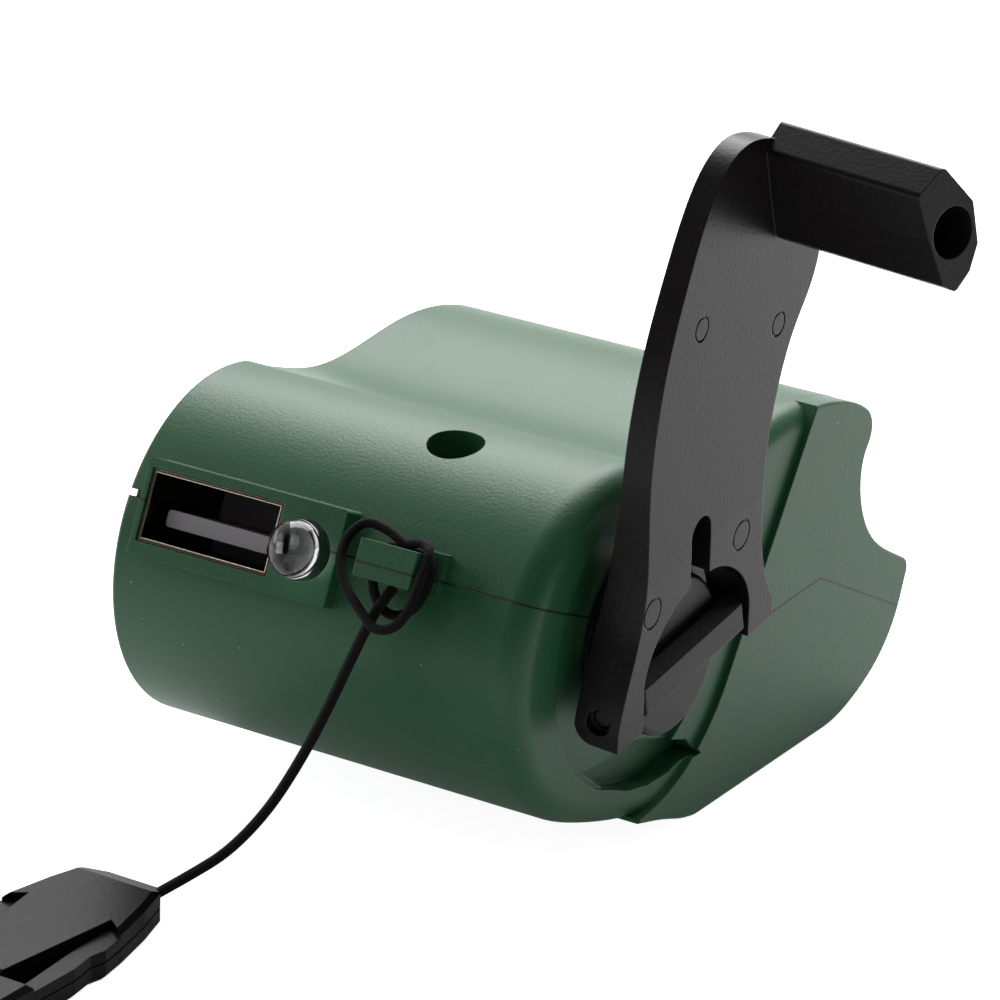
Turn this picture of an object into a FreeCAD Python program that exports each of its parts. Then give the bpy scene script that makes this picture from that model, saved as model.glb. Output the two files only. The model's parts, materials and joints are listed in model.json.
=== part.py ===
import FreeCAD, Part
import math
import os

os.makedirs("parts", exist_ok=True)

V = FreeCAD.Vector

# Hand crank phone charger, millimetres.
# Drawn about the crank axis: X along the crank axis, Y to the rear, Z up.
# Everything is then pitched so that the base lies flat, and moved to the base.

# ---- driving dimensions: case
base_pitch = 4.0
case_half = 19.9
nose_radius = 15.2
nose_y = -3.9
nose_z = 0.6
base_level = -20.08
base_front = 9.5
base_rear = 31.0
lip_radius = 2.4
ledge_outside = (44.87, -12.44, 1.3, -26, 57)
ledge_inside = (43.1, -12.9, 2.4, -14, 55)
horn_y = 36.3
horn_z = 4.3
wall = 2.0
crank_wall_inside = case_half - 4.0
edge_crank = 2.2
edge_raised = 0.3
raised_inset = 0.04
edge_left = 0.4
left_end = -case_half - 0.5
seam_port = 0.5
step_depth = 0.55
step_radius = 16.9
step_angle = -36.6
step_start = -0.6
recess_radius = 13.2
recess_face = case_half - 1.2
pocket_face = case_half - 2.7
fit = 0.05

# ---- driving dimensions: port side, in the port frame
port_tilt = 28.0
frame_x0 = -case_half + 1.7
frame_x1 = frame_x0 + 19.6
frame_half = 4.08
frame_face = -20.2
usb_x0 = frame_x0 + 0.6
usb_x1 = usb_x0 + 12.95
usb_z0 = -2.85
usb_z1 = 3.25
usb_sheet = 0.3
usb_front = frame_face + 0.15
usb_back = -6.2
led_x = usb_x1 + 2.9
led_z = 0.0
led_radius = 2.45
led_tip = -23.7
post_x0 = frame_x1 + 3.53
post_x1 = post_x0 + 5.39
post_z0 = -0.70
post_z1 = 2.38
post_face = -23.2
post_head = 1.3
board_thick = 1.2
board_x0 = usb_x0 + 0.1
board_x1 = led_x + 2.15
board_front = -16.4
board_back = -4.6

# ---- driving dimensions: gear train
module = 0.5
addendum = 0.75
dedendum = 1.0
backlash = 0.06
pressure = 20.0
teeth_crank = 44
teeth_pinion = 12
teeth_first = 36
teeth_second = 24
first_angle = -25.0
second_angle = 37.0
rotor_angle = -75.0
plate_thick = 1.2
inner_plate_x = crank_wall_inside - 14.4
outer_plate_x = crank_wall_inside - 1.3
shaft_radius = 2.5
axle_radius = 1.0
idler_hub = 1.8
can_radius = 9.0
can_back = -case_half + 5.9

# ---- driving dimensions: hub, hinge and arm
hub_x0 = recess_face + 0.55
hinge_x = hub_x0 + 3.35
hinge_drop = 1.0
hinge_lean = 4.9
arm_tilt = 4.0
hub_radius = 6.9
hub_flange = 7.6
hub_flange_x1 = hub_x0 + 0.95
hub_x1 = hinge_x + 0.1
barrel_radius = 2.25
barrel_h0 = -7.8
barrel_h1 = 8.1
barrel_gap = 0.35
pin_radius = 0.9
pin_sunk = 0.9
leg_front_inner = barrel_h0 - 0.4
leg_front_outer = leg_front_inner - 4.0
leg_rear_inner = barrel_h1 + 0.7
leg_rear_outer = leg_rear_inner + 4.0
leg_foot = 0.05 - barrel_radius
leg_round = 1.7
arm_depth_in = -2.1
arm_face = 2.0
plate_skin = 1.5
handle_h = 12.9
handle_a = 38.4
handle_root = 0.9
handle_end = 16.4
handle_slope = 0.31
handle_bore = 2.15

# ---- driving dimensions: lanyard
strand_radius = 0.4
strand_shift = (0.26, -0.33, 0.17)
strand_route = [(7.7, -19.6, 7.7), (7.3, -21.4, 6.5), (6, -22.7, 2.4), (4.6, -24.2, -2.4),
              (3.3, -25.8, -6.4), (1.6, -27.6, -10.5), (-0.7, -29.6, -14), (-3.1, -31.4, -16.1),
              (-5.3, -33, -17.8)]
strand_end = 1.2
hitch_outer = [(7.5, -20.5, 2.7), (5.3, -20.4, 3.5), (3.5, -20.7, 3.7), (2.6, -21.4, 2.3),
               (2.8, -22.2, 0.2), (4.3, -22.8, -1.8), (6.6, -23.3, -3.3), (8.4, -23.55, -4.5),
               (10.2, -23.55, -3.9), (10.98, -23.3, -2), (10.95, -22.9, 0.6),
               (10.75, -22.1, 2.85), (9.3, -21.1, 3.2), (7.55, -20.5, 2.7)]
hitch_inner = [(7.5, -19.9, 2.35), (5.7, -19.9, 2.25), (5.0, -20, 0.9), (5.3, -20.5, -0.9),
               (6.6, -20.9, -2.6), (8.4, -21.1, -3.2), (9.9, -20.8, -2.2), (10.2, -20.3, -0.4),
               (10.15, -19.95, 1.3), (9.5, -19.9, 2.3), (7.55, -19.9, 2.35)]
buckle_thick = 3.4
buckle_middle = -8.25
buckle_split = -53.4
buckle_tail = -63.0


# ---- small helpers
def box(x0, x1, y0, y1, z0, z1):
    return Part.makeBox(x1 - x0, y1 - y0, z1 - z0, V(x0, y0, z0))


def rod(x0, x1, y, z, radius):
    return Part.makeCylinder(radius, x1 - x0, V(x0, y, z), V(1, 0, 0))


def prism(points, x0, x1):
    corners = [V(x0, y, z) for y, z in points]
    corners.append(corners[0])
    face = Part.Face(Part.makePolygon(corners))
    return face.extrude(V(x1 - x0, 0, 0))


def port(shape):
    turned = shape.copy()
    turned.rotate(V(0, 0, 0), V(1, 0, 0), -port_tilt)
    return turned


def polar(radius, angle):
    a = math.radians(angle)
    return (radius * math.cos(a), radius * math.sin(a))


def smooth(points, start, end):
    curve = Part.BSplineCurve()
    curve.interpolate(Points=points, InitialTangent=start, FinalTangent=end)
    return curve.toShape()


def base_z(y):
    a = math.radians(base_pitch)
    return (base_level - y * math.sin(a)) / math.cos(a)


def fuse_all(shapes):
    whole = shapes[0]
    for shape in shapes[1:]:
        whole = whole.fuse(shape)
    return whole.removeSplitter()


# ---- case profile
def corner_arc(x, y, z, radius, start, end):
    def at(angle):
        dy, dz = polar(radius, angle)
        return V(x, y + dy, z + dz)

    def heading(angle):
        a = math.radians(angle)
        return V(0, -math.sin(a), math.cos(a))

    arc = Part.Arc(at(start), at((start + end) / 2), at(end)).toShape()
    return arc, at(start), at(end), heading(start), heading(end)


def case_profile(x, ledge=ledge_outside):
    def p(y, z):
        return V(x, y, z)

    a = math.radians(base_pitch)
    along = V(0, math.cos(a), -math.sin(a))
    front = p(base_front, base_z(base_front))
    rear = p(base_rear, base_z(base_rear))
    nose, n0, n1, in_n, out_n = corner_arc(x, nose_y, nose_z, nose_radius, 80, 232)
    lip, l0, l1, in_l, out_l = corner_arc(x, *ledge)
    horn, h0, h1, in_h, out_h = corner_arc(x, horn_y, horn_z, lip_radius, -45, 51.5)
    back = [rear, p(36.7, -21.6), p(40.2, -20.2), p(42.9, -18.2), p(44.6, -16.0), l0]
    channel = [l1, p(41.4, -8.6), p(38.9, -6.2), p(37.4, -3.4), p(36.9, -0.6), h0]
    top = [h1, p(33.3, 8.6), p(28.9, 9.9), p(24.2, 10.45), p(17.8, 10.3),
           p(11.6, 10.7), p(5.6, 12.7), p(1.6, 14.6), n0]
    chin = [n1, p(-7.2, -14.8), p(-1.7, -17.0), p(3.8, -18.95), front]
    edges = [Part.makeLine(front, rear), smooth(back, along, in_l), lip,
             smooth(channel, out_l, in_h), horn, smooth(top, out_h, in_n), nose,
             smooth(chin, out_n, along)]
    return edges


def inset(edge, depth):
    steps = 16
    first = edge.FirstParameter
    span = edge.LastParameter - first
    points = []
    for i in range(steps + 1):
        t = first + span * i / steps
        heading = edge.tangentAt(t)
        inward = V(0, -heading.z, heading.y)
        points.append(edge.valueAt(t) + inward * depth)
    if edge.Curve.TypeId == "Part::GeomLine":
        return Part.makeLine(points[0], points[-1])
    if edge.Curve.TypeId == "Part::GeomCircle":
        return Part.Arc(points[0], points[steps // 2], points[-1]).toShape()
    return smooth(points, edge.tangentAt(first), edge.tangentAt(edge.LastParameter))


def rim_edges(solid, x):
    return [e for e in solid.Edges
            if abs(e.BoundBox.XMin - x) < 1e-3 and abs(e.BoundBox.XMax - x) < 1e-3]


def step_outline():
    ty, tz = polar(step_radius, step_angle)
    ux, uz = polar(30.0, step_angle + 90.0)
    return [(0, 0), (ty, tz), (ty + ux, tz + uz), (31.4, 40), (-40, 40), (-40, -40),
            (step_start, -40), (step_start, -10)]


def case_block():
    low = case_half - step_depth
    face = Part.Face(Part.Wire(case_profile(left_end)))
    block = face.extrude(V(low - left_end, 0, 0))
    block = block.makeFillet(edge_crank, rim_edges(block, low))
    block = block.makeFillet(edge_left, rim_edges(block, left_end))
    start = low - edge_crank - 0.6
    rim = [inset(edge, raised_inset) for edge in case_profile(start)]
    raised = Part.Face(Part.Wire(rim)).extrude(V(case_half - start, 0, 0))
    raised = raised.makeFillet(edge_raised, rim_edges(raised, case_half))
    raised = raised.cut(prism(step_outline(), start - 1, case_half + 1))
    raised = raised.cut(rod(start - 1, case_half + 1, 0, 0, step_radius))
    return fuse_all([block, raised])


def cavity_block():
    profile = case_profile(-case_half + wall, ledge_inside)
    edges = [inset(edge, wall) for edge in profile]
    inner = Part.Face(Part.Wire(edges))
    return inner.extrude(V(crank_wall_inside + case_half - wall, 0, 0))


# ---- seam between the shells
def above_seam():
    a = math.radians(port_tilt)
    y0 = -40.0
    z0 = (seam_port - y0 * math.sin(a)) / math.cos(a)
    y1 = 13.0
    z1 = (seam_port - y1 * math.sin(a)) / math.cos(a)
    points = [(y0, z0), (y1, z1), (29.7, -6.9), (44.9, -16.0), (60.0, -25.0),
              (60.0, 40.0), (y0, 40.0)]
    return prism(points, -60, 60)


# ---- crank side face
def crank_face_cuts():
    deep = 5.0
    recess = rod(recess_face, case_half + deep, 0, 0, recess_radius)
    outer = []
    for radius, angle in ((12.4, -130), (13.2, -111), (13.9, -97), (14.8, -84),
                          (15.8, -72), (16.2, -66)):
        y, z = polar(radius, angle)
        outer.append(V(pocket_face, y, z))
    upper = [V(pocket_face, 9.4, -15.0), V(pocket_face, 7.7, -13.1),
             V(pocket_face, 1.2, -10.4), V(pocket_face, -2.0, -9.6),
             V(pocket_face, -4.7, -10.0), V(pocket_face, -7.9, -9.5)]
    rim = [Part.makeLine(outer[i], outer[i + 1]) for i in range(len(outer) - 1)]
    rim.append(Part.makeLine(outer[-1], upper[0]))
    rim += [Part.makeLine(upper[i], upper[i + 1]) for i in range(len(upper) - 1)]
    rim.append(Part.makeLine(upper[-1], outer[0]))
    pocket = Part.Face(Part.Wire(rim)).extrude(V(10, 0, 0))
    return [recess, pocket]


# ---- lanyard post and port frame
def post_parts():
    head = box(post_x0, post_x1, post_face, post_face + post_head, post_z0, post_z1)
    neck = box(post_x0 + 1.0, post_x1 - 0.9, post_face + post_head, -16.5,
               post_z0 + 0.6, post_z1 - 0.6)
    foot = box(post_x0 + 0.6, post_x1 + 0.4, -19.3, -16.5, post_z0 - 0.3, post_z1 + 0.3)
    return [port(head), port(neck), port(foot)]


def frame_parts():
    frame = box(frame_x0, frame_x1, frame_face, -17.0, -frame_half, frame_half)
    corners = [e for e in frame.Edges if abs(e.BoundBox.YLength) > 2.5]
    return [port(frame.makeFillet(0.3, corners))]


def port_openings():
    usb = box(usb_x0 - fit, usb_x1 + fit, -23, -12, usb_z0 - fit, usb_z1 + fit)
    led = Part.makeCylinder(led_radius + fit, 10, V(led_x, -24, led_z), V(0, 1, 0))
    slit = box(left_end - 1, frame_x0 - 0.2, -24, -17.4, seam_port, seam_port + 0.6)
    return [port(usb), port(led), port(slit)]


# ---- screws that close the case
crest_x = 4.75
crest_y = -5.2
crest_seat = 10.6
crest_head = 2.1
crest_shank = 0.95
rear_y = 38.6
rear_x = (-case_half + 7.9, case_half - 8.9)
rear_seat = -19.0
rear_tip = -9.6


def upright(x, y, z0, z1, radius):
    return Part.makeCylinder(radius, z1 - z0, V(x, y, z0))


def case_bosses(block):
    crest = [upright(crest_x, crest_y, -20, 20, 1.9),
             upright(crest_x, crest_y, crest_seat - 1.6, 20, 3.3)]
    rear = [upright(x, rear_y, -30, 0, 3.0) for x in rear_x]
    return [boss.common(block) for boss in crest + rear]


def screw_holes():
    holes = [upright(crest_x, crest_y, -4.2, 20, crest_shank + fit),
             upright(crest_x, crest_y, crest_seat, 20, crest_head + 0.3)]
    for x in rear_x:
        holes.append(upright(x, rear_y, -30, rear_tip + 0.2, crest_shank + fit))
        holes.append(upright(x, rear_y, -30, rear_seat, crest_head + 0.2))
    return holes


def screw(x, y, seat, up, length):
    side = 1 if up else -1
    head = Part.makeCylinder(crest_head, 1.5, V(x, y, seat), V(0, 0, side))
    shank = Part.makeCylinder(crest_shank, length, V(x, y, seat), V(0, 0, -side))
    slot_a = Part.makeBox(2.4, 0.55, 0.9, V(x - 1.2, y - 0.275, seat + side * 1.5 - 0.45))
    slot_b = Part.makeBox(0.55, 2.4, 0.9, V(x - 0.275, y - 1.2, seat + side * 1.5 - 0.45))
    return head.fuse(shank).cut(slot_a).cut(slot_b).removeSplitter()


def case_screws():
    parts = [screw(crest_x, crest_y, crest_seat, True, crest_seat + 4.0)]
    for x in rear_x:
        parts.append(screw(x, rear_y, rear_seat, False, rear_tip - rear_seat))
    return Part.makeCompound(parts)


# ---- gear plates and their supports
plate_top = 6.3
plate_low = -16.0
plate_outline = [(-9.0, -8.0), (-9.0, plate_top), (31.0, plate_top), (33.4, 2.0),
                 (33.4, plate_low), (8.0, plate_low), (-3.0, -13.4)]


def centre(start, distance, angle):
    dy, dz = polar(distance, angle)
    return (start[0] + dy, start[1] + dz)


first_at = centre((0.0, 0.0), module * (teeth_crank + teeth_pinion) / 2, first_angle)
second_at = centre(first_at, module * (teeth_first + teeth_pinion) / 2, second_angle)
rotor_at = centre(second_at, module * (teeth_second + teeth_pinion) / 2, rotor_angle)
pillars_at = [(14.6, 4.85), (30.8, 4.0), (31.9, -14.9), (4.2, -13.6)]
pillar_radius = 1.4
plate_screw_head = 1.3
plate_screw_radius = 0.8
can_screws_at = [(rotor_at[0] - 6.3, rotor_at[1]), (rotor_at[0] + 6.3, rotor_at[1])]


def gear_plate(x, holes):
    plate = prism(plate_outline, x, x + plate_thick)
    for y, z, radius in holes:
        plate = plate.cut(rod(x - 1, x + plate_thick + 1, y, z, radius))
    return plate


def plate_holes():
    holes = [(first_at[0], first_at[1], axle_radius), (second_at[0], second_at[1], axle_radius)]
    holes += [(y, z, plate_screw_radius + fit) for y, z in pillars_at]
    return holes


def inner_gear_plate():
    holes = plate_holes() + [(0, 0, shaft_radius + fit), (rotor_at[0], rotor_at[1], 2.2)]
    holes += [(y, z, plate_screw_radius + fit) for y, z in can_screws_at]
    return gear_plate(inner_plate_x, holes)


def outer_gear_plate():
    return gear_plate(outer_plate_x, plate_holes() + [(0, 0, shaft_radius + 3 * fit)])


def plate_pillars():
    x0 = inner_plate_x + plate_thick
    parts = []
    for y, z in pillars_at:
        post = rod(x0, outer_plate_x, y, z, pillar_radius)
        post = post.cut(rod(x0 - 1, x0 + 4, y, z, plate_screw_radius + fit))
        post = post.cut(rod(outer_plate_x - 4, outer_plate_x + 1, y, z,
                            plate_screw_radius + fit))
        parts.append(post)
    return Part.makeCompound(parts)


def plate_screws():
    parts = []
    for y, z in pillars_at:
        shank = rod(inner_plate_x, inner_plate_x + plate_thick + 3.5, y, z, plate_screw_radius)
        head = rod(inner_plate_x - 0.8, inner_plate_x, y, z, plate_screw_head)
        parts.append(shank.fuse(head).removeSplitter())
        tip = outer_plate_x - 3.5
        parts.append(rod(tip, outer_plate_x + plate_thick, y, z, plate_screw_radius))
    return Part.makeCompound(parts)


def plate_supports(block):
    parts = []
    for x in (inner_plate_x, outer_plate_x):
        x0 = x - 0.3
        x1 = x + plate_thick + 0.3
        for y in (12.0, 28.0):
            parts.append(box(x0, x1, y, y + 2.0, -30, plate_low).common(block))
            parts.append(box(x0, x1, y, y + 2.0, plate_top, 30).common(block))
    return parts


def board_supports(block):
    parts = []
    low = usb_z0 - board_thick
    for x0, x1 in ((-case_half + 0.9, board_x0 + 1.2), (board_x1 - 3.4, board_x1 - 1.6)):
        parts.append(port(box(x0, x1, -12.0, -8.0, -30, low)).common(block))
    return parts


# ---- shells
def shells():
    block = case_block()
    hollow = block.cut(cavity_block())
    body = hollow
    for group in (frame_parts(), post_parts(), case_bosses(block),
                  plate_supports(block), board_supports(block)):
        body = fuse_all([body] + group)
    bush_hole = rod(crank_wall_inside - 2, recess_face + 1, 0, 0, bush_radius)
    for tool in crank_face_cuts() + port_openings() + screw_holes() + [bush_hole]:
        body = body.cut(tool)
    region = above_seam()
    return body.common(region), body.cut(region)


# ---- gears
def gear(at, teeth, x0, x1, tooth_angle, bore):
    pitch = module * teeth / 2
    base = pitch * math.cos(math.radians(pressure))
    outer = pitch + addendum * module
    root = pitch - dedendum * module
    half_pitch = (math.pi * module / 2 - backlash) / (2 * pitch)

    def involute(radius):
        if radius <= base:
            return 0.0
        t = math.sqrt((radius / base) ** 2 - 1)
        return t - math.atan(t)

    start = max(base, root)
    radii = [start + (outer - start) * i / 4 for i in range(5)]
    flank = [(r, half_pitch + involute(pitch) - involute(r)) for r in radii]
    if start > root + 1e-6:
        flank = [(root, flank[0][1])] + flank
    points = []
    for i in range(teeth):
        middle = tooth_angle + 2 * math.pi * i / teeth
        sides = [(r, middle - w) for r, w in flank] + [(r, middle + w) for r, w in flank[::-1]]
        for r, a in sides:
            points.append((at[0] + r * math.cos(a), at[1] + r * math.sin(a)))
    body = prism(points, x0, x1)
    if bore > 0:
        body = body.cut(rod(x0 - 1, x1 + 1, at[0], at[1], bore))
    return body


def mate_angle(from_at, to_at, teeth_from, teeth_to, angle_from):
    theta = math.atan2(to_at[1] - from_at[1], to_at[0] - from_at[0])
    share = (theta - angle_from) * teeth_from / (2 * math.pi)
    return theta + math.pi - (0.5 - share) * 2 * math.pi / teeth_to


crank_mesh = (outer_plate_x - 3.7, outer_plate_x - 0.7)
first_mesh = (crank_mesh[0] - 3.4, crank_mesh[0] - 1.2)
second_mesh = (first_mesh[0] - 3.2, first_mesh[0] - 1.0)
spare = 0.3
crank_phase = 0.0
first_phase = mate_angle((0, 0), first_at, teeth_crank, teeth_pinion, crank_phase)
second_phase = mate_angle(first_at, second_at, teeth_first, teeth_pinion, first_phase)
rotor_phase = mate_angle(second_at, rotor_at, teeth_second, teeth_pinion, second_phase)


def crank_gear():
    wheel = gear((0, 0), teeth_crank, crank_mesh[0], crank_mesh[1], crank_phase, shaft_radius)
    web = 0.9
    for x0, x1 in ((crank_mesh[0] - 1, crank_mesh[0] + web), (crank_mesh[1] - web, 20)):
        ring = rod(x0, x1, 0, 0, 9.0).cut(rod(x0 - 1, x1 + 1, 0, 0, 4.4))
        wheel = wheel.cut(ring)
    return wheel


def idler(at, small, large, small_x, large_x, phase):
    bore = axle_radius + fit
    parts = [gear(at, small, small_x[0] - spare, small_x[1] + spare, phase, bore),
             gear(at, large, large_x[0], large_x[1], phase, bore)]
    x0 = inner_plate_x + plate_thick + 0.3
    x1 = outer_plate_x - 0.2
    sleeve = rod(x0, x1, at[0], at[1], idler_hub)
    sleeve = sleeve.cut(rod(x0 - 1, x1 + 1, at[0], at[1], bore))
    return fuse_all(parts + [sleeve])


def idler_axle(at):
    return rod(inner_plate_x, outer_plate_x + plate_thick, at[0], at[1], axle_radius)


# ---- generator
def generator_can():
    y, z = rotor_at
    can = rod(can_back, inner_plate_x, y, z, can_radius)
    can = can.cut(rod(can_back - 1, inner_plate_x - 0.8, y, z, can_radius - 0.8))
    front = inner_plate_x - 2
    can = can.cut(rod(front, front + 4, y, z, axle_radius + fit))
    for sy, sz in can_screws_at:
        can = can.cut(rod(front, front + 4, sy, sz, plate_screw_radius + fit))
    return can


def generator_end_cap():
    y, z = rotor_at
    cap = rod(can_back - 1.2, can_back, y, z, can_radius)
    plug = rod(can_back, can_back + 1.2, y, z, can_radius - 0.8 - fit)
    boss = rod(can_back - 1.9, can_back - 1.2, y, z, 3.0)
    tabs = [box(can_back - 3.2, can_back - 1.2, y - 6.0, y - 4.0, z - 4.2, z - 3.9),
            box(can_back - 3.2, can_back - 1.2, y - 6.0, y - 4.0, z + 3.9, z + 4.2)]
    whole = fuse_all([cap, plug, boss] + tabs)
    return whole.cut(rod(can_back - 5, can_back + 5, y, z, axle_radius + fit))


def generator_magnets():
    y, z = rotor_at
    parts = []
    for side in (1, -1):
        ring = rod(can_back + 1.7, inner_plate_x - 2.5, y, z, can_radius - 0.8)
        ring = ring.cut(rod(can_back, inner_plate_x, y, z, can_radius - 1.5))
        half = box(can_back, inner_plate_x, y - 12, y + 12, z + 1.2, z + 12)
        if side < 0:
            half = box(can_back, inner_plate_x, y - 12, y + 12, z - 12, z - 1.2)
        parts.append(ring.common(half))
    return Part.makeCompound(parts)


def generator_rotor():
    y, z = rotor_at
    x0 = can_back + 2.5
    x1 = inner_plate_x - 3.0
    core = rod(x0, x1, y, z, can_radius - 1.9)
    slot_count = 3
    for i in range(slot_count):
        dy, dz = polar(can_radius - 2.2, 60.0 + 360.0 / slot_count * i)
        core = core.cut(rod(x0 - 1, x1 + 1, y + dy, z + dz, 2.0))
    collar = rod(x0 - 1.1, x1 + 1.3, y, z, 2.2)
    core = fuse_all([core, collar])
    return core.cut(rod(x0 - 3, x1 + 3, y, z, axle_radius))


def generator_shaft():
    return rod(can_back - 1.7, second_mesh[1] + 0.9, rotor_at[0], rotor_at[1], axle_radius)


def rotor_pinion():
    return gear(rotor_at, teeth_pinion, second_mesh[0] - spare, second_mesh[1] + spare,
                rotor_phase, axle_radius)


def generator_screws():
    x = inner_plate_x + plate_thick
    parts = []
    for y, z in can_screws_at:
        shank = rod(inner_plate_x - 0.8, x, y, z, plate_screw_radius)
        parts.append(shank.fuse(rod(x, x + 0.8, y, z, 1.4)).removeSplitter())
    return Part.makeCompound(parts)


# ---- shaft
bush_radius = 3.6
washer_radius = 8.2
shaft_inner_end = inner_plate_x - 1.1
shaft_outer_end = hub_x0 + 1.65


def drive_shaft():
    shaft = rod(shaft_inner_end, shaft_outer_end, 0, 0, shaft_radius)
    groove = rod(inner_plate_x - 0.7, inner_plate_x - 0.1, 0, 0, shaft_radius + 1)
    groove = groove.cut(rod(inner_plate_x - 2, inner_plate_x + 1, 0, 0, clip_inner))
    return shaft.cut(groove)


clip_inner = 1.9
clip_outer = 3.7


def retaining_clip():
    ring = rod(inner_plate_x - 0.7, inner_plate_x - 0.1, 0, 0, clip_outer)
    ring = ring.cut(rod(inner_plate_x - 2, inner_plate_x + 1, 0, 0, clip_inner))
    mouth = box(inner_plate_x - 2, inner_plate_x + 1, -1.0, 1.0, -6, 0)
    return ring.cut(mouth)


def shaft_bush():
    x0 = outer_plate_x + plate_thick
    bush = rod(x0, recess_face, 0, 0, bush_radius)
    return bush.cut(rod(x0 - 1, recess_face + 1, 0, 0, shaft_radius + fit))


def hub_washer():
    washer = rod(recess_face, recess_face + 0.45, 0, 0, washer_radius)
    return washer.cut(rod(recess_face - 1, recess_face + 1, 0, 0, shaft_radius + 2 * fit))


# ---- electronics, in the port frame
def usb_shell():
    outside = box(usb_x0, usb_x1, usb_front, usb_back, usb_z0, usb_z1)
    inside = box(usb_x0 + usb_sheet, usb_x1 - usb_sheet, usb_front - 1, usb_back + 1,
                 usb_z0 + usb_sheet, usb_z1 - usb_sheet)
    return port(outside.cut(inside))


tongue_x0 = usb_x0 + 1.3
tongue_x1 = usb_x1 - 1.3
tongue_z0 = -1.2
tongue_z1 = 0.25


def usb_tongue():
    block = box(usb_x0 + usb_sheet, usb_x1 - usb_sheet, -9.0, usb_back,
                usb_z0 + usb_sheet, usb_z1 - usb_sheet)
    tongue = box(tongue_x0, tongue_x1, -18.4, -9.0, tongue_z0, tongue_z1)
    corners = [e for e in tongue.Edges if e.BoundBox.YLength > 5]
    tongue = tongue.makeFillet(0.35, corners)
    return port(block.fuse(tongue).cut(fuse_all(contact_bars())))


def contact_bars():
    middle = (tongue_x0 + tongue_x1) / 2
    bars = []
    for offset in (-3.5, -1.0, 1.0, 3.5):
        x = middle + offset
        bars.append(box(x - 0.5, x + 0.5, -17.6, -9.0, tongue_z0, tongue_z0 + 0.2))
    return bars


def usb_contacts():
    return Part.makeCompound([port(bar) for bar in contact_bars()])


def led_lens():
    dome = led_tip + led_radius
    body = Part.makeCylinder(led_radius, -13.8 - dome, V(led_x, dome, led_z), V(0, 1, 0))
    tip = Part.makeSphere(led_radius, V(led_x, dome, led_z))
    flange = Part.makeCylinder(led_radius + 0.3, 1.0, V(led_x, -14.8, led_z), V(0, 1, 0))
    return port(fuse_all([body, tip, flange]))


def led_leads():
    parts = []
    for x in (led_x - 1.27, led_x + 1.27):
        run = box(x - 0.25, x + 0.25, -13.8, -11.3, led_z - 0.25, led_z + 0.25)
        drop = box(x - 0.25, x + 0.25, -11.8, -11.3, usb_z0, led_z + 0.25)
        parts.append(port(run.fuse(drop).removeSplitter()))
    return Part.makeCompound(parts)


def circuit_board():
    board = box(board_x0, board_x1, board_front, board_back, usb_z0 - board_thick, usb_z0)
    return port(board)


def capacitor():
    z = usb_z0 - board_thick - 3.3
    x0 = board_x0 + 2.1
    x1 = x0 + 10.0
    can = Part.makeCylinder(3.15, x1 - x0, V(x0, -9.6, z), V(1, 0, 0))
    parts = [can]
    for y in (-10.8, -8.4):
        lead = box(x1, x1 + 1.2, y - 0.25, y + 0.25, z - 0.25, z + 0.25)
        rise = box(x1 + 0.7, x1 + 1.2, y - 0.25, y + 0.25, z - 0.25, usb_z0 - board_thick)
        parts += [lead, rise]
    return port(fuse_all(parts))


def rectifier_diodes():
    parts = []
    for i in range(4):
        y = -10.4 + 1.9 * i
        body = box(board_x1 - 3.8, board_x1 - 1.3, y, y + 1.3, usb_z0, usb_z0 + 1.1)
        parts.append(port(body))
    return Part.makeCompound(parts)


def board_chips():
    low = usb_z0 - board_thick
    driver = box(board_x1 - 4.0, board_x1 - 0.4, -7.6, -5.2, low - 1.4, low)
    coil = box(board_x0 + 2.0, board_x0 + 6.0, -6.0, -4.9, low - 2.2, low)
    return Part.makeCompound([port(driver), port(coil)])


# ---- hub, hinge and arm, drawn flat in hinge coordinates
def hinge_place(shape, tilt):
    g = math.radians(hinge_lean)
    t = math.radians(tilt)
    h = V(0, math.cos(g), math.sin(g))
    up = V(0, -math.sin(g), math.cos(g))
    out = V(1, 0, 0) * math.cos(t) - up * math.sin(t)
    along = up * math.cos(t) + V(1, 0, 0) * math.sin(t)
    m = FreeCAD.Matrix(h.x, along.x, out.x, hinge_x,
                       h.y, along.y, out.y, 0,
                       h.z, along.z, out.z, -hinge_drop,
                       0, 0, 0, 1)
    placed = shape.copy()
    placed.Placement = FreeCAD.Placement(m).multiply(placed.Placement)
    return placed


def barrel(radius, h0, h1):
    return Part.makeCylinder(radius, h1 - h0, V(h0, 0, 0), V(1, 0, 0))


def side_cut(points, half):
    corners = [V(-half, a, o) for a, o in points]
    corners.append(corners[0])
    return Part.Face(Part.makePolygon(corners)).extrude(V(2 * half, 0, 0))


def facet_barrel():
    points = []
    for angle in (119, 55.5, 17.8, -25.5, -70, -115, -160, 165):
        a, o = polar(barrel_radius, angle)
        points.append(V(barrel_h0, a, o))
    points.append(points[0])
    whole = Part.Face(Part.makePolygon(points)).extrude(V(barrel_h1 - barrel_h0, 0, 0))
    return whole.makeFillet(0.25, whole.Edges)


def crank_hub():
    boss = rod(hub_x0, hub_x1, 0, -hinge_drop, hub_radius)
    rim = [e for e in boss.Edges if abs(e.BoundBox.XMin - hub_x1) < 1e-3]
    boss = boss.makeFillet(0.5, rim)
    boss = boss.fuse(rod(hub_x0, hub_flange_x1, 0, 0, hub_flange))
    whole = boss.fuse(hinge_place(facet_barrel(), 0.0)).removeSplitter()
    hole = hinge_place(barrel(pin_radius + fit, barrel_h0 - 1, barrel_h1 + 1), 0.0)
    return whole.cut(hole).cut(rod(hub_x0 - 1, shaft_outer_end, 0, 0, shaft_radius))


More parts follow.
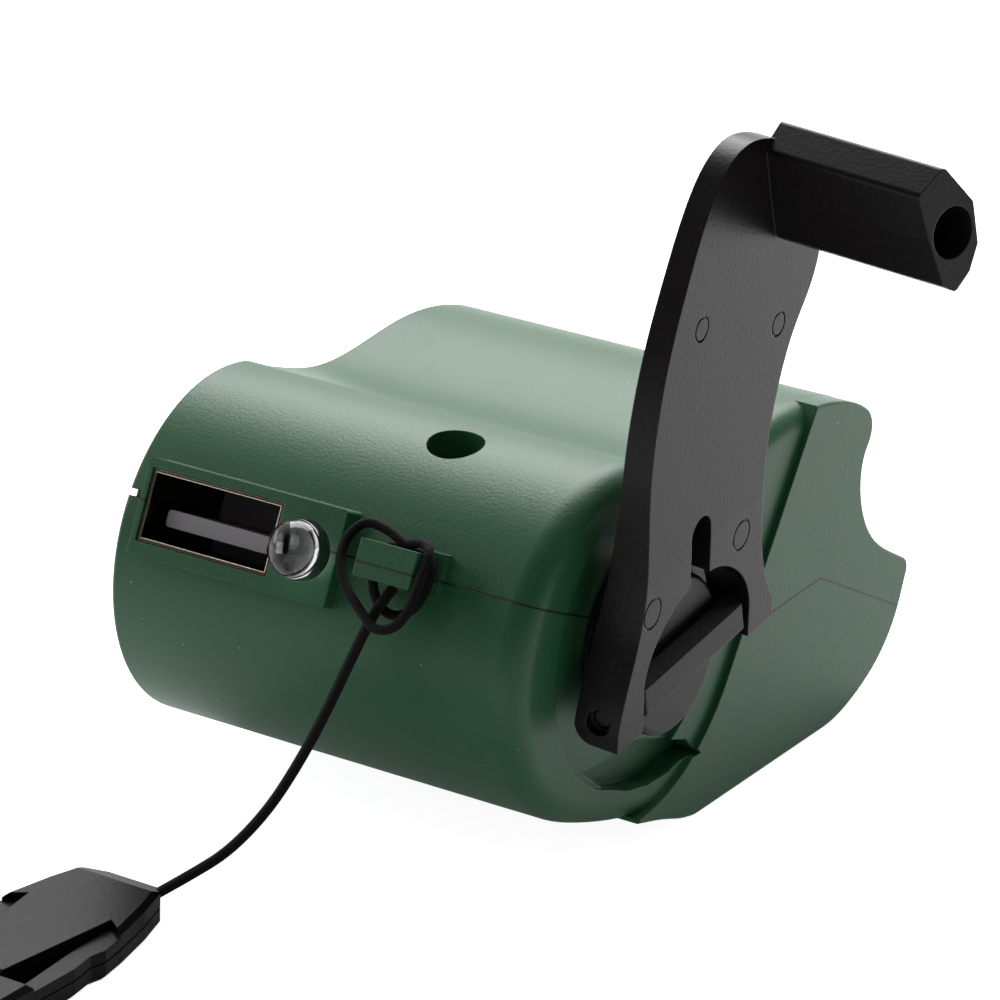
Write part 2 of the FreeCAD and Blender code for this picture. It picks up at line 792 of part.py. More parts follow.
def hinge_pin():
    pin = barrel(pin_radius, leg_front_outer + pin_sunk, leg_rear_outer - pin_sunk)
    ends = [e for e in pin.Edges if e.BoundBox.XLength < 0.01]
    return hinge_place(pin.makeFillet(0.25, ends), 0.0)


def arm_outline(z):
    def p(h, a):
        return V(h, a, z)

    edge = [p(leg_front_outer, -0.6), p(-11.2, 2.4), p(-9.2, 7.1), p(-8.1, 13.0),
            p(-7.9, 19.7), p(-7.2, 24.3), p(-5.0, 31.1), p(-2.2, 36.6), p(0.2, 40.5),
            p(2.1, 42.7), p(4.3, 44.1), p(6.6, 44.5), p(9.3, 43.9), p(12.2, 42.5),
            p(15.4, 40.3), p(17.9, 37.2), p(19.0, 33.7), p(18.9, 30.0), p(17.3, 26.9),
            p(15.1, 24.5), p(12.9, 21.0), p(11.0, 15.7), p(10.3, 9.0), p(10.9, 4.0),
            p(leg_rear_outer, -0.4)]
    arch = [p(leg_rear_inner, 0.4), p(barrel_h1 + barrel_gap, 2.6), p(5.9, 6.0), p(3.0, 7.6),
            p(0.2, 7.95), p(-2.6, 7.6), p(-5.4, 6.2), p(barrel_h0 - 0.3, 2.6),
            p(leg_front_inner, 1.0)]
    curve = Part.BSplineCurve()
    curve.interpolate(edge)
    vault = Part.BSplineCurve()
    vault.interpolate(arch)
    rear_foot = p(leg_rear_outer, leg_foot)
    rear_toe = p(leg_rear_inner, leg_foot)
    front_toe = p(leg_front_inner, leg_foot)
    front_foot = p(leg_front_outer, leg_foot)
    edges = [curve.toShape(), Part.makeLine(edge[-1], rear_foot),
             Part.makeLine(rear_foot, rear_toe), Part.makeLine(rear_toe, arch[0]),
             vault.toShape(), Part.makeLine(arch[-1], front_toe),
             Part.makeLine(front_toe, front_foot), Part.makeLine(front_foot, edge[0])]
    return Part.Face(Part.Wire(Part.__sortEdges__(edges)))


def arm_pocket():
    points = [(-6.9, 11.5), (-7.0, 19.7), (-6.3, 24.0), (-4.1, 30.7), (-1.3, 36.0),
              (1.0, 39.8), (2.8, 41.7), (4.8, 42.9), (6.5, 43.2), (8.8, 42.5),
              (11.5, 41.2), (14.3, 39.3), (16.4, 36.6), (17.5, 33.4), (17.4, 30.3),
              (16.1, 27.8), (13.9, 25.5), (11.6, 21.6), (9.6, 16.2), (8.9, 11.5)]
    corners = [V(h, a, -8) for h, a in points]
    corners.append(corners[0])
    block = Part.Face(Part.makePolygon(corners)).extrude(V(0, 0, 16))
    inside = arm_face - plate_skin
    region = side_cut([(5, -9), (5, inside), (11, inside), (51, inside - 0.9), (51, -9)], 40)
    return block.common(region)


def handle_section():
    return [(-0.3, 5.65), (-3.3, 4.2), (-2.55, 0.1), (-1.5, -4.1), (-0.3, -5.0),
            (1.45, -3.8), (2.6, -1.8), (2.5, 1.8)]


def handle_solid():
    corners = [V(handle_h + h, handle_a + a, handle_root) for h, a in handle_section()]
    corners.append(corners[0])
    grip = Part.Face(Part.makePolygon(corners)).extrude(V(0, 0, 24))
    lengthwise = [e for e in grip.Edges if e.BoundBox.ZLength > 20]
    grip = grip.makeFillet(0.5, lengthwise)
    slope = math.atan(handle_slope)
    end = Part.makeBox(40, 40, 20, V(-20, -20, 0))
    end.rotate(V(0, 0, 0), V(0.515, 0.857, 0), -math.degrees(slope))
    end.translate(V(handle_h, handle_a, handle_end))
    return grip.cut(end)


def ring_mark(h, a, radius):
    face = arm_face - 0.9 * max(0.0, a - 11.0) / 40.0
    groove = Part.makeCylinder(radius, 5, V(h, a, face - 0.12))
    return groove.cut(Part.makeCylinder(radius - 0.2, 5, V(h, a, face - 0.12)))


def crank_arm():
    arm = arm_outline(arm_depth_in).extrude(V(0, 0, arm_face - arm_depth_in))
    toes = [e for e in arm.Edges if e.BoundBox.YLength < 0.01 and e.BoundBox.ZLength < 0.01
            and abs(e.BoundBox.YMin - leg_foot) < 0.01
            and abs(e.BoundBox.ZMin - arm_depth_in) < 0.01]
    arm = arm.makeFillet(leg_round, toes)
    shallow = side_cut([(7, arm_depth_in), (19, -0.8), (51, -0.8), (51, -9), (7, -9)], 40)
    face = side_cut([(11, arm_face), (51, arm_face - 0.9), (51, 9), (11, 9)], 40)
    arm = arm.cut(shallow).cut(face).cut(arm_pocket())
    slot = Part.makeBox(3.1, 6.0, 12, V(-1.3, 6.2, -6))
    slot = slot.fuse(Part.makeCylinder(1.55, 12, V(0.25, 12.2, -6)))
    arm = arm.cut(slot)
    arm = arm.cut(barrel(pin_radius, leg_front_outer - 2, leg_rear_outer + 2))
    mouth = pin_radius + 0.2
    arm = arm.cut(barrel(mouth, leg_front_outer - 2, leg_front_outer + pin_sunk))
    arm = arm.cut(barrel(mouth, leg_rear_outer - pin_sunk, leg_rear_outer + 2))
    for h, a, radius in ((-7.3, 8.6, 1.4), (6.9, 8.7, 1.4), (-0.2, 31.2, 1.1),
                         (12.2, 25.9, 1.1)):
        arm = arm.cut(ring_mark(h, a, radius))
    arm = fuse_all([arm, handle_solid()])
    bore = Part.makeCylinder(handle_bore, 30, V(handle_h, handle_a, handle_root + 0.7))
    return hinge_place(arm.cut(bore), arm_tilt)


# ---- lanyard, drawn in the pitched frame
def unit(v):
    return V(v.x, v.y, v.z).normalize()


def tube(points, radius):
    ends = [points[0]]
    corners = []
    tightest = 1e9
    for i in range(1, len(points) - 1):
        back = points[i - 1] - points[i]
        ahead = points[i + 1] - points[i]
        half = (math.pi - back.getAngle(ahead)) / 2
        reach = 0.45 * min(back.Length, ahead.Length)
        bend = reach / math.tan(half)
        tightest = min(tightest, bend)
        inward = unit(unit(back) + unit(ahead))
        start = points[i] + unit(back) * reach
        finish = points[i] + unit(ahead) * reach
        middle = points[i] + inward * (bend / math.cos(half) - bend)
        corners.append((start, middle, finish))
    path = []
    here = points[0]
    for start, middle, finish in corners:
        path.append(Part.LineSegment(here, start).toShape())
        path.append(Part.Arc(start, middle, finish).toShape())
        here = finish
    path.append(Part.LineSegment(here, points[-1]).toShape())
    wire = Part.Wire(path)
    ring = Part.Wire(Part.makeCircle(radius, points[0], points[1] - points[0]))
    solid = wire.makePipeShell([ring], True, True)
    expected = wire.Length * math.pi * radius * radius
    print("cord", round(wire.Length, 2), "tightest", round(tightest, 2),
          "volume share", round(solid.Volume / expected, 4))
    return solid


def pitched(shape):
    turned = shape.copy()
    turned.rotate(V(0, 0, 0), V(1, 0, 0), base_pitch)
    return turned


def lanyard_hitch():
    loops = []
    for route in (hitch_outer, hitch_inner):
        points = [V(x + post_x0 - 4.93, y, z) for x, y, z in route]
        loops.append(pitched(port(tube(points, strand_radius))))
    return Part.makeCompound(loops)


def lanyard_cord(hitch):
    dx, dy, dz = strand_shift
    strands = []
    for side in (1, -1):
        route = [V(x + side * dx, y + side * dy, z + side * dz) for x, y, z in strand_route]
        route[-1] = route[-1] + unit(route[-1] - route[-2]) * strand_end
        strands.append(tube(route, strand_radius).cut(hitch))
    return Part.makeCompound(strands)


def buckle_slab(outline, z0, z1, inset):
    corners = [V(x, y, z0) for x, y in outline]
    corners.append(corners[0])
    slab = Part.Face(Part.makePolygon(corners)).extrude(V(0, 0, z1 - z0))
    rim = [e for e in slab.Edges if e.BoundBox.ZLength < 0.01]
    return slab.makeChamfer(inset, rim)


def both_sides(half):
    right = [(buckle_middle + x, y) for x, y in half]
    return right + [(buckle_middle - x, y) for x, y in half[::-1]]


def buckle_male(cord):
    floor = base_level
    top = floor + buckle_thick
    half = [(2.5, -32.3), (3.9, -34.0), (4.9, -37.5), (5.8, -41.9), (6.15, -44.4),
            (5.8, -45.9), (6.1, -48.4), (5.9, buckle_split)]
    body = buckle_slab(both_sides(half), floor, top, 0.45)
    nose = Part.makeBox(20, 6, 4, V(buckle_middle - 10, -34.9, top))
    nose.rotate(V(buckle_middle, -34.9, top), V(1, 0, 0), -22)
    body = body.cut(nose)
    for side in (1, -1):
        gap = [(4.1, -40.9), (2.3, buckle_split - 1), (4.6, buckle_split - 1), (4.1, -46.2)]
        grip = [(4.1, -40.9), (4.1, -46.2), (4.6, buckle_split - 1), (9, buckle_split - 1),
                (9, -44.4), (6.4, -42.6)]
        for region, depth in ((gap, 2.2), (grip, 0.7)):
            corners = [V(buckle_middle + side * x, y, top - depth) for x, y in region]
            corners.append(corners[0])
            body = body.cut(Part.Face(Part.makePolygon(corners)).extrude(V(0, 0, 5)))
    groove = buckle_slab(both_sides([(x + 1, y) for x, y in half]), floor + 1.6,
                         floor + 1.75, 0.01)
    core = buckle_slab(both_sides([(x - 0.12, y) for x, y in half]), floor + 1.5,
                       floor + 1.9, 0.01)
    return body.cut(groove.cut(core)).cut(cord)


def buckle_female():
    floor = base_level
    top = floor + buckle_thick
    half = [(5.9, buckle_split - fit), (5.8, -58.0), (4.6, buckle_tail)]
    body = buckle_slab(both_sides(half), floor, top, 0.45)
    bar = Part.makeBox(6.6, 1.8, 10, V(buckle_middle - 3.3, buckle_tail + 1.4, floor - 2))
    return body.cut(bar)


# ---- build every piece
def build():
    upper, lower = shells()
    pieces = {
        "upper_shell": upper,
        "lower_shell": lower,
        "case_screws": case_screws(),
        "usb_shell": usb_shell(),
        "usb_tongue": usb_tongue(),
        "usb_contacts": usb_contacts(),
        "led_lens": led_lens(),
        "led_leads": led_leads(),
        "circuit_board": circuit_board(),
        "capacitor": capacitor(),
        "rectifier_diodes": rectifier_diodes(),
        "board_chips": board_chips(),
        "generator_can": generator_can(),
        "generator_end_cap": generator_end_cap(),
        "generator_magnets": generator_magnets(),
        "generator_rotor": generator_rotor(),
        "generator_shaft": generator_shaft(),
        "rotor_pinion": rotor_pinion(),
        "generator_screws": generator_screws(),
        "inner_gear_plate": inner_gear_plate(),
        "outer_gear_plate": outer_gear_plate(),
        "plate_pillars": plate_pillars(),
        "plate_screws": plate_screws(),
        "crank_gear": crank_gear(),
        "first_idler_gear": idler(first_at, teeth_pinion, teeth_first, crank_mesh,
                                  first_mesh, first_phase),
        "second_idler_gear": idler(second_at, teeth_pinion, teeth_second, first_mesh,
                                   second_mesh, second_phase),
        "first_idler_axle": idler_axle(first_at),
        "second_idler_axle": idler_axle(second_at),
        "drive_shaft": drive_shaft(),
        "retaining_clip": retaining_clip(),
        "shaft_bush": shaft_bush(),
        "hub_washer": hub_washer(),
        "crank_hub": crank_hub(),
        "hinge_pin": hinge_pin(),
        "crank_arm": crank_arm(),
    }
    return pieces


pieces = build()
pitch_axis = V(1, 0, 0)
low_x = 1e9
high_x = -1e9
low_y = 1e9
high_y = -1e9
low_z = 1e9
for name, shape in pieces.items():
    shape.rotate(V(0, 0, 0), pitch_axis, base_pitch)
    bound = shape.optimalBoundingBox(False)
    low_x = min(low_x, bound.XMin)
    high_x = max(high_x, bound.XMax)
    low_y = min(low_y, bound.YMin)
    high_y = max(high_y, bound.YMax)
    low_z = min(low_z, bound.ZMin)
shift = V(-(low_x + high_x) / 2, -(low_y + high_y) / 2, -low_z)
print("shift", shift, "size", high_x - low_x, high_y - low_y)


def placed_point(x, y, z):
    p = V(x, y, z)
    a = math.radians(base_pitch)
    return V(p.x, p.y * math.cos(a) - p.z * math.sin(a),
             p.y * math.sin(a) + p.z * math.cos(a)) + shift


for label, point in (("shaft", (0, 0, 0)), ("hinge", (hinge_x, 0, -hinge_drop)),
                     ("first", (0, first_at[0], first_at[1])),
                     ("second", (0, second_at[0], second_at[1])),
                     ("rotor", (0, rotor_at[0], rotor_at[1]))):
    print(label, placed_point(*point))

hitch = lanyard_hitch()
cord = lanyard_cord(hitch)
pieces["lanyard_hitch"] = hitch
pieces["lanyard_cord"] = cord
pieces["buckle_male"] = buckle_male(cord)
pieces["buckle_female"] = buckle_female()

for name, shape in pieces.items():
    shape.translate(shift)
    solids = shape.Solids
    print(name, len(solids), round(shape.Volume, 1), shape.isValid())
    shape.exportStep("parts/" + name + ".step")
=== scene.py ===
import json
import math

import bpy
import numpy as np
from mathutils import Matrix, Vector


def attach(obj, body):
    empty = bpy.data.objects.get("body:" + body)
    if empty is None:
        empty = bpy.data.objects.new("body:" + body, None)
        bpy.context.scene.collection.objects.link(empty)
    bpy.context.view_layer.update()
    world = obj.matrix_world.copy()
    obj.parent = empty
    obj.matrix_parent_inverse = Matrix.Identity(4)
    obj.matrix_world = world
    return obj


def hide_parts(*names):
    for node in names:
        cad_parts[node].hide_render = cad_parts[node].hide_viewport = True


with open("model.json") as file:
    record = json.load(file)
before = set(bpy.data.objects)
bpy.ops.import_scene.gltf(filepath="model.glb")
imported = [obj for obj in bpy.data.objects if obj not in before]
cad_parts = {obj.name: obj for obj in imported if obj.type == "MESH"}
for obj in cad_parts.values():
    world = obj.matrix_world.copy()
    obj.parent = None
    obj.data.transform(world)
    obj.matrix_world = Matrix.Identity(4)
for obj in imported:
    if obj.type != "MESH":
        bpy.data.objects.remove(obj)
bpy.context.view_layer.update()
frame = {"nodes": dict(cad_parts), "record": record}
nodes = frame["nodes"]

# the drawing frame of the part: crank axis at its origin, pitched by basePitch, then moved
basePitch = math.radians(4.0)
shift = Vector((-11.042011, -12.532814, 20.08))


def pitched(x, y, z):
    c, s = math.cos(basePitch), math.sin(basePitch)
    return Vector((x, y * c - z * s, y * s + z * c))


def spot(x, y, z):  # drawing millimetres to scene metres
    return (pitched(x, y, z) + shift) / 1000


def flatSpot(x, y, z):  # pitched millimetres to scene metres
    return (Vector((x, y, z)) + shift) / 1000


# ---- camera
cameraPlace = dict(at=(214.23, -341.95, 167.97), lens=187.45, turn=32.334, rise=25.1)


def makeCamera(spec):
    data = bpy.data.cameras.new("viewCamera")
    camera = bpy.data.objects.new("viewCamera", data)
    bpy.context.scene.collection.objects.link(camera)
    a, e = math.radians(spec["turn"]), math.radians(spec["rise"])
    back = pitched(math.sin(a) * math.cos(e), -math.cos(a) * math.cos(e), math.sin(e))
    right = pitched(math.cos(a), math.sin(a), 0)
    up = back.cross(right)
    turn = Matrix((right, up, back)).transposed().to_4x4()
    camera.matrix_world = Matrix.Translation(flatSpot(*spec["at"])) @ turn
    data.lens = spec["lens"]
    data.sensor_width = 36
    data.clip_end = 10
    bpy.context.scene.camera = camera


makeCamera(cameraPlace)
print("camera done")


# ---- material helpers
def newMaterial(name):
    mat = bpy.data.materials.new(name)
    mat.use_nodes = True
    tree = mat.node_tree
    bsdf = tree.nodes["Principled BSDF"]
    return mat, tree, bsdf


def mathNode(tree, operation, a, b=None):
    node = tree.nodes.new("ShaderNodeMath")
    node.operation = operation
    for i, v in enumerate((a, b)):
        if v is None:
            continue
        if isinstance(v, (int, float)):
            node.inputs[i].default_value = v
        else:
            tree.links.new(v, node.inputs[i])
    return node.outputs[0]


def mixColour(tree, factor, a, b):
    node = tree.nodes.new("ShaderNodeMix")
    node.data_type = "RGBA"
    for socket, v in ((node.inputs[0], factor), (node.inputs[6], a), (node.inputs[7], b)):
        if isinstance(v, (int, float)):
            socket.default_value = v
        elif isinstance(v, tuple):
            socket.default_value = (*v, 1)
        else:
            tree.links.new(v, socket)
    return node.outputs[2]


def surfaceGroup():  # fine grain, slow tone, specks, soft edges and a painted highlight on the edges, all as values
    group = bpy.data.node_groups.new("surfaceWearAndHighlight", "ShaderNodeTree")
    face = group.interface
    for name, kind in (("grainSize", "NodeSocketFloat"), ("grainDepth", "NodeSocketFloat"),
                       ("edge", "NodeSocketFloat")):
        face.new_socket(name, in_out="INPUT", socket_type=kind)
    for name, kind in (("tone", "NodeSocketFloat"), ("speck", "NodeSocketFloat"),
                       ("rim", "NodeSocketFloat"), ("normal", "NodeSocketVector")):
        face.new_socket(name, in_out="OUTPUT", socket_type=kind)
    into = group.nodes.new("NodeGroupInput")
    out = group.nodes.new("NodeGroupOutput")
    coords = group.nodes.new("ShaderNodeTexCoord")
    fine = group.nodes.new("ShaderNodeTexNoise")
    fine.inputs["Detail"].default_value = 3
    group.links.new(coords.outputs["Object"], fine.inputs["Vector"])
    group.links.new(into.outputs["grainSize"], fine.inputs["Scale"])
    slow = group.nodes.new("ShaderNodeTexNoise")
    slow.inputs["Scale"].default_value = 90
    slow.inputs["Detail"].default_value = 2
    group.links.new(coords.outputs["Object"], slow.inputs["Vector"])
    dots = group.nodes.new("ShaderNodeTexVoronoi")
    dots.inputs["Scale"].default_value = 420
    group.links.new(coords.outputs["Object"], dots.inputs["Vector"])
    speck = mathNode(group, "LESS_THAN", dots.outputs["Distance"], 0.032)
    bevel = group.nodes.new("ShaderNodeBevel")
    bevel.samples = 6
    group.links.new(into.outputs["edge"], bevel.inputs["Radius"])
    bump = group.nodes.new("ShaderNodeBump")
    bump.inputs["Distance"].default_value = 0.0001
    group.links.new(into.outputs["grainDepth"], bump.inputs["Strength"])
    group.links.new(fine.outputs["Fac"], bump.inputs["Height"])
    group.links.new(bevel.outputs["Normal"], bump.inputs["Normal"])
    geometry = group.nodes.new("ShaderNodeNewGeometry")
    dot = group.nodes.new("ShaderNodeVectorMath")
    dot.operation = "DOT_PRODUCT"
    group.links.new(bevel.outputs["Normal"], dot.inputs[0])
    group.links.new(geometry.outputs["Normal"], dot.inputs[1])
    # painted highlight: edges are lightened where the bevel-rounded normal turns away from the
    # true normal
    rim = mathNode(group, "SUBTRACT", 1.0, dot.outputs["Value"])
    group.links.new(slow.outputs["Fac"], out.inputs["tone"])
    group.links.new(speck, out.inputs["speck"])
    group.links.new(mathNode(group, "MULTIPLY", rim, 6.0), out.inputs["rim"])
    group.links.new(bump.outputs["Normal"], out.inputs["normal"])
    return group


surface = surfaceGroup()

seamRule = dict(half=0.10, corners=[(-40.0, 21.83), (13.0, -6.35),
                (29.7, -6.9), (44.9, -16.0), (60.0, -25.0)])


def seamGroup():  # dark hairline where the two shells meet, distance to each run of the seam
    group = bpy.data.node_groups.new("seamLine", "ShaderNodeTree")
    group.interface.new_socket("seam", in_out="OUTPUT", socket_type="NodeSocketFloat")
    out = group.nodes.new("NodeGroupOutput")
    coords = group.nodes.new("ShaderNodeTexCoord")

    def along(direction, start):  # millimetres from start, along a drawing direction
        aim = pitched(*direction)
        dot = group.nodes.new("ShaderNodeVectorMath")
        dot.operation = "DOT_PRODUCT"
        group.links.new(coords.outputs["Object"], dot.inputs[0])
        dot.inputs[1].default_value = aim * 1000
        offset = aim.dot(shift) + Vector((0, *start)).dot(Vector(direction))
        return mathNode(group, "SUBTRACT", dot.outputs["Value"], offset)

    total = None
    for (y0, z0), (y1, z1) in zip(seamRule["corners"], seamRule["corners"][1:]):
        run = math.hypot(y1 - y0, z1 - z0)
        dy, dz = (y1 - y0) / run, (z1 - z0) / run
        aside = mathNode(group, "ABSOLUTE", along((0, -dz, dy), (y0, z0)))
        near = mathNode(group, "LESS_THAN", aside, seamRule["half"])
        step = along((0, dy, dz), (y0, z0))
        inside = mathNode(group, "MULTIPLY", mathNode(group, "GREATER_THAN", step, 0.0),
                          mathNode(group, "LESS_THAN", step, run))
        hit = mathNode(group, "MULTIPLY", near, inside)
        total = hit if total is None else mathNode(group, "MAXIMUM", total, hit)
    group.links.new(total, out.inputs["seam"])
    return group


seamLine = seamGroup()


def wearAndHighlightNode(tree, size, depth, edge):
    node = tree.nodes.new("ShaderNodeGroup")
    node.node_tree = surface
    node.inputs["grainSize"].default_value = size
    node.inputs["grainDepth"].default_value = depth
    node.inputs["edge"].default_value = edge
    return node


def solidMaterial(name, spec):
    mat, tree, bsdf = newMaterial(name)
    wearAndHighlight = wearAndHighlightNode(tree, spec.get("size", 2500), spec.get("depth", 0.3), spec.get("edge", 0.0001))
    base = tuple(spec["colour"])
    light = tuple(min(1, c * spec.get("lift", 1.35)) for c in base)
    colour = mixColour(tree, wearAndHighlight.outputs["tone"], base, light)
    # painted highlight on the edges: the colour is pulled toward the lighter edge colour by the
    # rim mask
    colour = mixColour(tree, mathNode(tree, "MULTIPLY", wearAndHighlight.outputs["rim"], spec.get("rim", 0.3)),
                       colour, tuple(spec.get("rimColour", light)))
    if "speck" in spec:
        mask = mathNode(tree, "MULTIPLY", wearAndHighlight.outputs["speck"], spec["speck"])
        colour = mixColour(tree, mask, colour, (0.7, 0.75, 0.7))
    if "seam" in spec:
        line = tree.nodes.new("ShaderNodeGroup")
        line.node_tree = seamLine
        mask = mathNode(tree, "MULTIPLY", line.outputs["seam"], spec["seam"])
        colour = mixColour(tree, mask, colour, (0.001, 0.002, 0.001))
    tree.links.new(colour, bsdf.inputs["Base Color"])
    tree.links.new(wearAndHighlight.outputs["normal"], bsdf.inputs["Normal"])
    bsdf.inputs["Roughness"].default_value = spec["rough"]
    bsdf.inputs["Metallic"].default_value = spec.get("metal", 0)
    bsdf.inputs["Specular IOR Level"].default_value = spec.get("specular", 0.5)
    return mat, tree, bsdf


# rim and rimColour set how strong and how light the painted edge highlight is
looks = {
    "green_abs": dict(colour=(0.017, 0.092, 0.038), lift=1.3, rough=0.42, size=3800, depth=0.3,
                      edge=0.00018, rim=0.3, rimColour=(0.03, 0.14, 0.06), speck=0.4, seam=0.9,
                      specular=0.48),
    "black_abs": dict(colour=(0.007, 0.0055, 0.006), lift=1.5, rough=0.33, size=3000, depth=0.22,
                      edge=0.00015, rim=0.4, rimColour=(0.06, 0.055, 0.055), specular=0.26),
    "black_acetal": dict(colour=(0.005, 0.005, 0.0048), lift=1.5, rough=0.34, size=2600, depth=0.2,
                         edge=0.00012, rim=0.3, rimColour=(0.03, 0.03, 0.03), specular=0.085),
    "white_nylon": dict(colour=(0.72, 0.70, 0.64), lift=1.05, rough=0.45, size=2200, depth=0.15),
    "tongue_grey": dict(colour=(0.30, 0.28, 0.31), lift=1.1, rough=0.5, size=2200, depth=0.15),
    "black_epoxy": dict(colour=(0.02, 0.02, 0.02), rough=0.5, size=3000, depth=0.4),
    "board_green": dict(colour=(0.01, 0.09, 0.04), rough=0.3, size=1500, depth=0.2),
    # plated steel gets a strong, near-white painted highlight on its edges
    "plated_steel": dict(colour=(0.12, 0.085, 0.06), rough=0.28, metal=1, size=1800, depth=0.12,
                         edge=0.00014, rim=2.2, rimColour=(0.9, 0.82, 0.68)),
    "tinned_steel": dict(colour=(0.5, 0.5, 0.48), rough=0.35, metal=1, size=1800, depth=0.2),
    "black_steel": dict(colour=(0.03, 0.028, 0.026), rough=0.35, metal=0.6, size=2500, depth=0.2),
    "gold_brass": dict(colour=(0.62, 0.42, 0.16), rough=0.3, metal=1, size=1500, depth=0.1),
    "can_aluminium": dict(colour=(0.55, 0.56, 0.6), rough=0.3, metal=1, size=1500, depth=0.1),
    "dark_ferrite": dict(colour=(0.03, 0.03, 0.032), rough=0.6, size=2000, depth=0.4),
    "black_cord": dict(colour=(0.003, 0.003, 0.003), lift=2.5, rough=0.8, size=5000, depth=1.0,
                       specular=0.2),
}
materials = {name: solidMaterial(name, spec)[0] for name, spec in looks.items()}


def clearMaterial(name):
    mat, tree, bsdf = newMaterial(name)
    wearAndHighlight = wearAndHighlightNode(tree, 900, 0.05, 0.0001)
    bsdf.inputs["Base Color"].default_value = (0.93, 0.96, 0.95, 1)
    bsdf.inputs["Transmission Weight"].default_value = 1
    bsdf.inputs["Roughness"].default_value = 0.03
    bsdf.inputs["IOR"].default_value = 1.45
    tree.links.new(wearAndHighlight.outputs["normal"], bsdf.inputs["Normal"])
    return mat


materials["clear_epoxy"] = clearMaterial("clear_epoxy")

for part in frame["record"]["subparts"]:
    target = nodes[part["node"]]
    target.data.materials.clear()
    target.data.materials.append(materials[part["material_slot"]])
for name, look in (("usb_tongue", "tongue_grey"), ("hinge_pin", "black_steel")):
    nodes[name].data.materials.clear()
    nodes[name].data.materials.append(materials[look])
print("materials done")


# ---- cord
cordLook = dict(diameter=0.0008, length=0.0338, half=(0.26, -0.33, 0.17), end=1.2)
cordRoute = [(7.7, -19.6, 7.7), (7.3, -21.4, 6.5), (6.0, -22.7, 2.4), (4.6, -24.2, -2.4),
             (3.3, -25.8, -6.4), (1.6, -27.6, -10.5), (-0.7, -29.6, -14.0), (-3.1, -31.4, -16.1),
             (-5.3, -33.0, -17.8)]


def cordCurve(name, points, diameter, closed=False):
    data = bpy.data.curves.new(name, "CURVE")
    data.dimensions = "3D"
    data.bevel_depth = diameter / 2
    data.bevel_resolution = 6
    data.resolution_u = 24
    spline = data.splines.new("NURBS")
    spline.points.add(len(points) - 1)
    for target, p in zip(spline.points, points):
        target.co = (*p, 1)
    spline.order_u = 3
    if closed:
        spline.use_cyclic_u = True
    else:
        spline.use_endpoint_u = True
    obj = bpy.data.objects.new(name, data)
    bpy.context.scene.collection.objects.link(obj)
    data.materials.append(materials["black_cord"])
    return obj


strands = []
for index, side in enumerate((1, -1)):
    dx, dy, dz = cordLook["half"]
    route = [Vector((x + side * dx, y + side * dy, z + side * dz)) for x, y, z in cordRoute]
    route[-1] = route[-1] + (route[-1] - route[-2]).normalized() * cordLook["end"]
    points = [flatSpot(*p) for p in route]
    strand = cordCurve("cordStrand%d" % (index + 1), points, cordLook["diameter"])
    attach(strand, "case")
    strands.append((strand, points[0]))
for strand, start in strands:
    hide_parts("lanyard_cord")
print("cord done")


# ---- light and ground
def areaLight(name, at, target, size, power, colour=(1, 1, 1)):
    data = bpy.data.lights.new(name, "AREA")
    data.shape = "RECTANGLE"
    data.size, data.size_y = size
    data.energy = power
    data.color = colour
    lamp = bpy.data.objects.new(name, data)
    bpy.context.scene.collection.objects.link(lamp)
    lamp.location = at
    lamp.rotation_euler = (Vector(target) - Vector(at)).to_track_quat("-Z", "Y").to_euler()
    return lamp


lampAim = (0, 0, 0.02)
areaLight("topSoftbox", (-0.15, 0.33, 0.42), lampAim, (0.5, 0.4), 3.6)
areaLight("leftSoftbox", (-0.4, -0.25, 0.25), lampAim, (0.3, 0.3), 0.4)
backdrop = dict(aim=(-0.75, 0.66, 0.0), rise=(-0.05, 0.6), floorRise=(-0.04, 0.12),
                dark=0.04, bright=1.0, soft=0.22, floorGlow=0.92)


def backShare(tree, vector, low, high):  # 0 on the camera side, 1 behind the part
    dot = tree.nodes.new("ShaderNodeVectorMath")
    dot.operation = "DOT_PRODUCT"
    tree.links.new(vector, dot.inputs[0])
    dot.inputs[1].default_value = backdrop["aim"]
    ramp = tree.nodes.new("ShaderNodeMapRange")
    ramp.interpolation_type = "SMOOTHSTEP"
    tree.links.new(dot.outputs["Value"], ramp.inputs["Value"])
    ramp.inputs["From Min"].default_value = low
    ramp.inputs["From Max"].default_value = high
    ramp.inputs["To Min"].default_value = backdrop["dark"]
    ramp.inputs["To Max"].default_value = backdrop["bright"]
    return ramp.outputs["Result"]


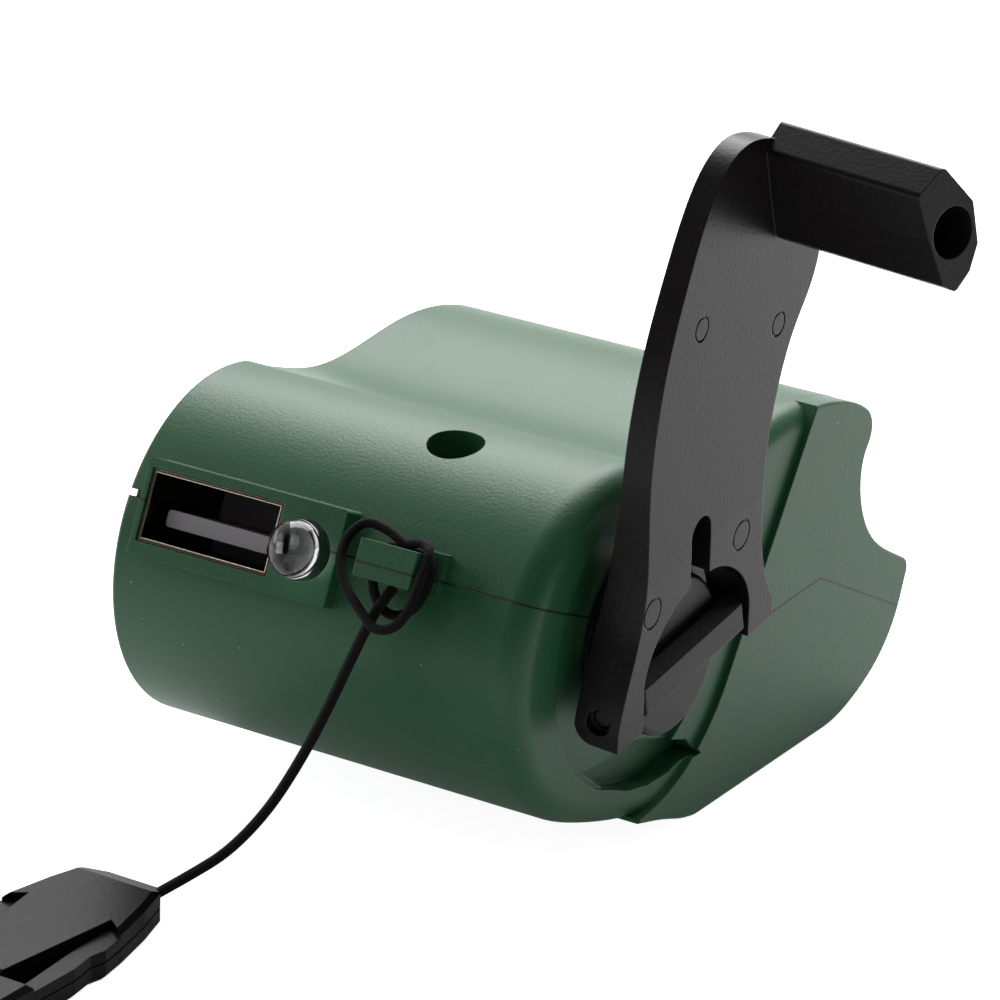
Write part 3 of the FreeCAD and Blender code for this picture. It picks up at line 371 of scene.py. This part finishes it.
def makeWorld():
    world = bpy.data.worlds.new("studio")
    bpy.context.scene.world = world
    world.use_nodes = True
    tree = world.node_tree
    tree.nodes.clear()
    out = tree.nodes.new("ShaderNodeOutputWorld")
    back = tree.nodes.new("ShaderNodeBackground")
    back.inputs["Color"].default_value = (1, 1, 1, 1)
    coords = tree.nodes.new("ShaderNodeTexCoord")
    path = tree.nodes.new("ShaderNodeLightPath")
    seen = mathNode(tree, "MAXIMUM", path.outputs["Is Camera Ray"],
                    path.outputs["Is Transmission Ray"])
    shiny = mathNode(tree, "MULTIPLY", path.outputs["Is Glossy Ray"],
                     backShare(tree, coords.outputs["Generated"], *backdrop["rise"]))
    soft = mathNode(tree, "MULTIPLY", path.outputs["Is Diffuse Ray"], backdrop["soft"])
    total = mathNode(tree, "ADD", mathNode(tree, "ADD", seen, shiny), soft)
    tree.links.new(total, back.inputs["Strength"])
    tree.links.new(back.outputs[0], out.inputs[0])


makeWorld()


def makeFloor():
    size = 3.0
    mesh = bpy.data.meshes.new("floor")
    mesh.from_pydata([(-size, -size, 0), (size, -size, 0), (size, size, 0), (-size, size, 0)],
                     [], [(0, 1, 2, 3)])
    floor = bpy.data.objects.new("floor", mesh)
    bpy.context.scene.collection.objects.link(floor)
    mat, tree, bsdf = newMaterial("floorWhite")
    bsdf.inputs["Base Color"].default_value = (0.95, 0.95, 0.95, 1)
    bsdf.inputs["Roughness"].default_value = 0.9
    bsdf.inputs["Emission Color"].default_value = (1, 1, 1, 1)
    path = tree.nodes.new("ShaderNodeLightPath")
    coords = tree.nodes.new("ShaderNodeTexCoord")
    plain = mathNode(tree, "MULTIPLY", path.outputs["Is Camera Ray"], backdrop["floorGlow"])
    shiny = mathNode(tree, "MULTIPLY", path.outputs["Is Glossy Ray"],
                     backShare(tree, coords.outputs["Object"], *backdrop["floorRise"]))
    tree.links.new(mathNode(tree, "ADD", plain, shiny), bsdf.inputs["Emission Strength"])
    mesh.materials.append(mat)


makeFloor()
scene = bpy.context.scene
scene.view_settings.view_transform = "Standard"
scene.view_settings.look = "None"
print("light done")
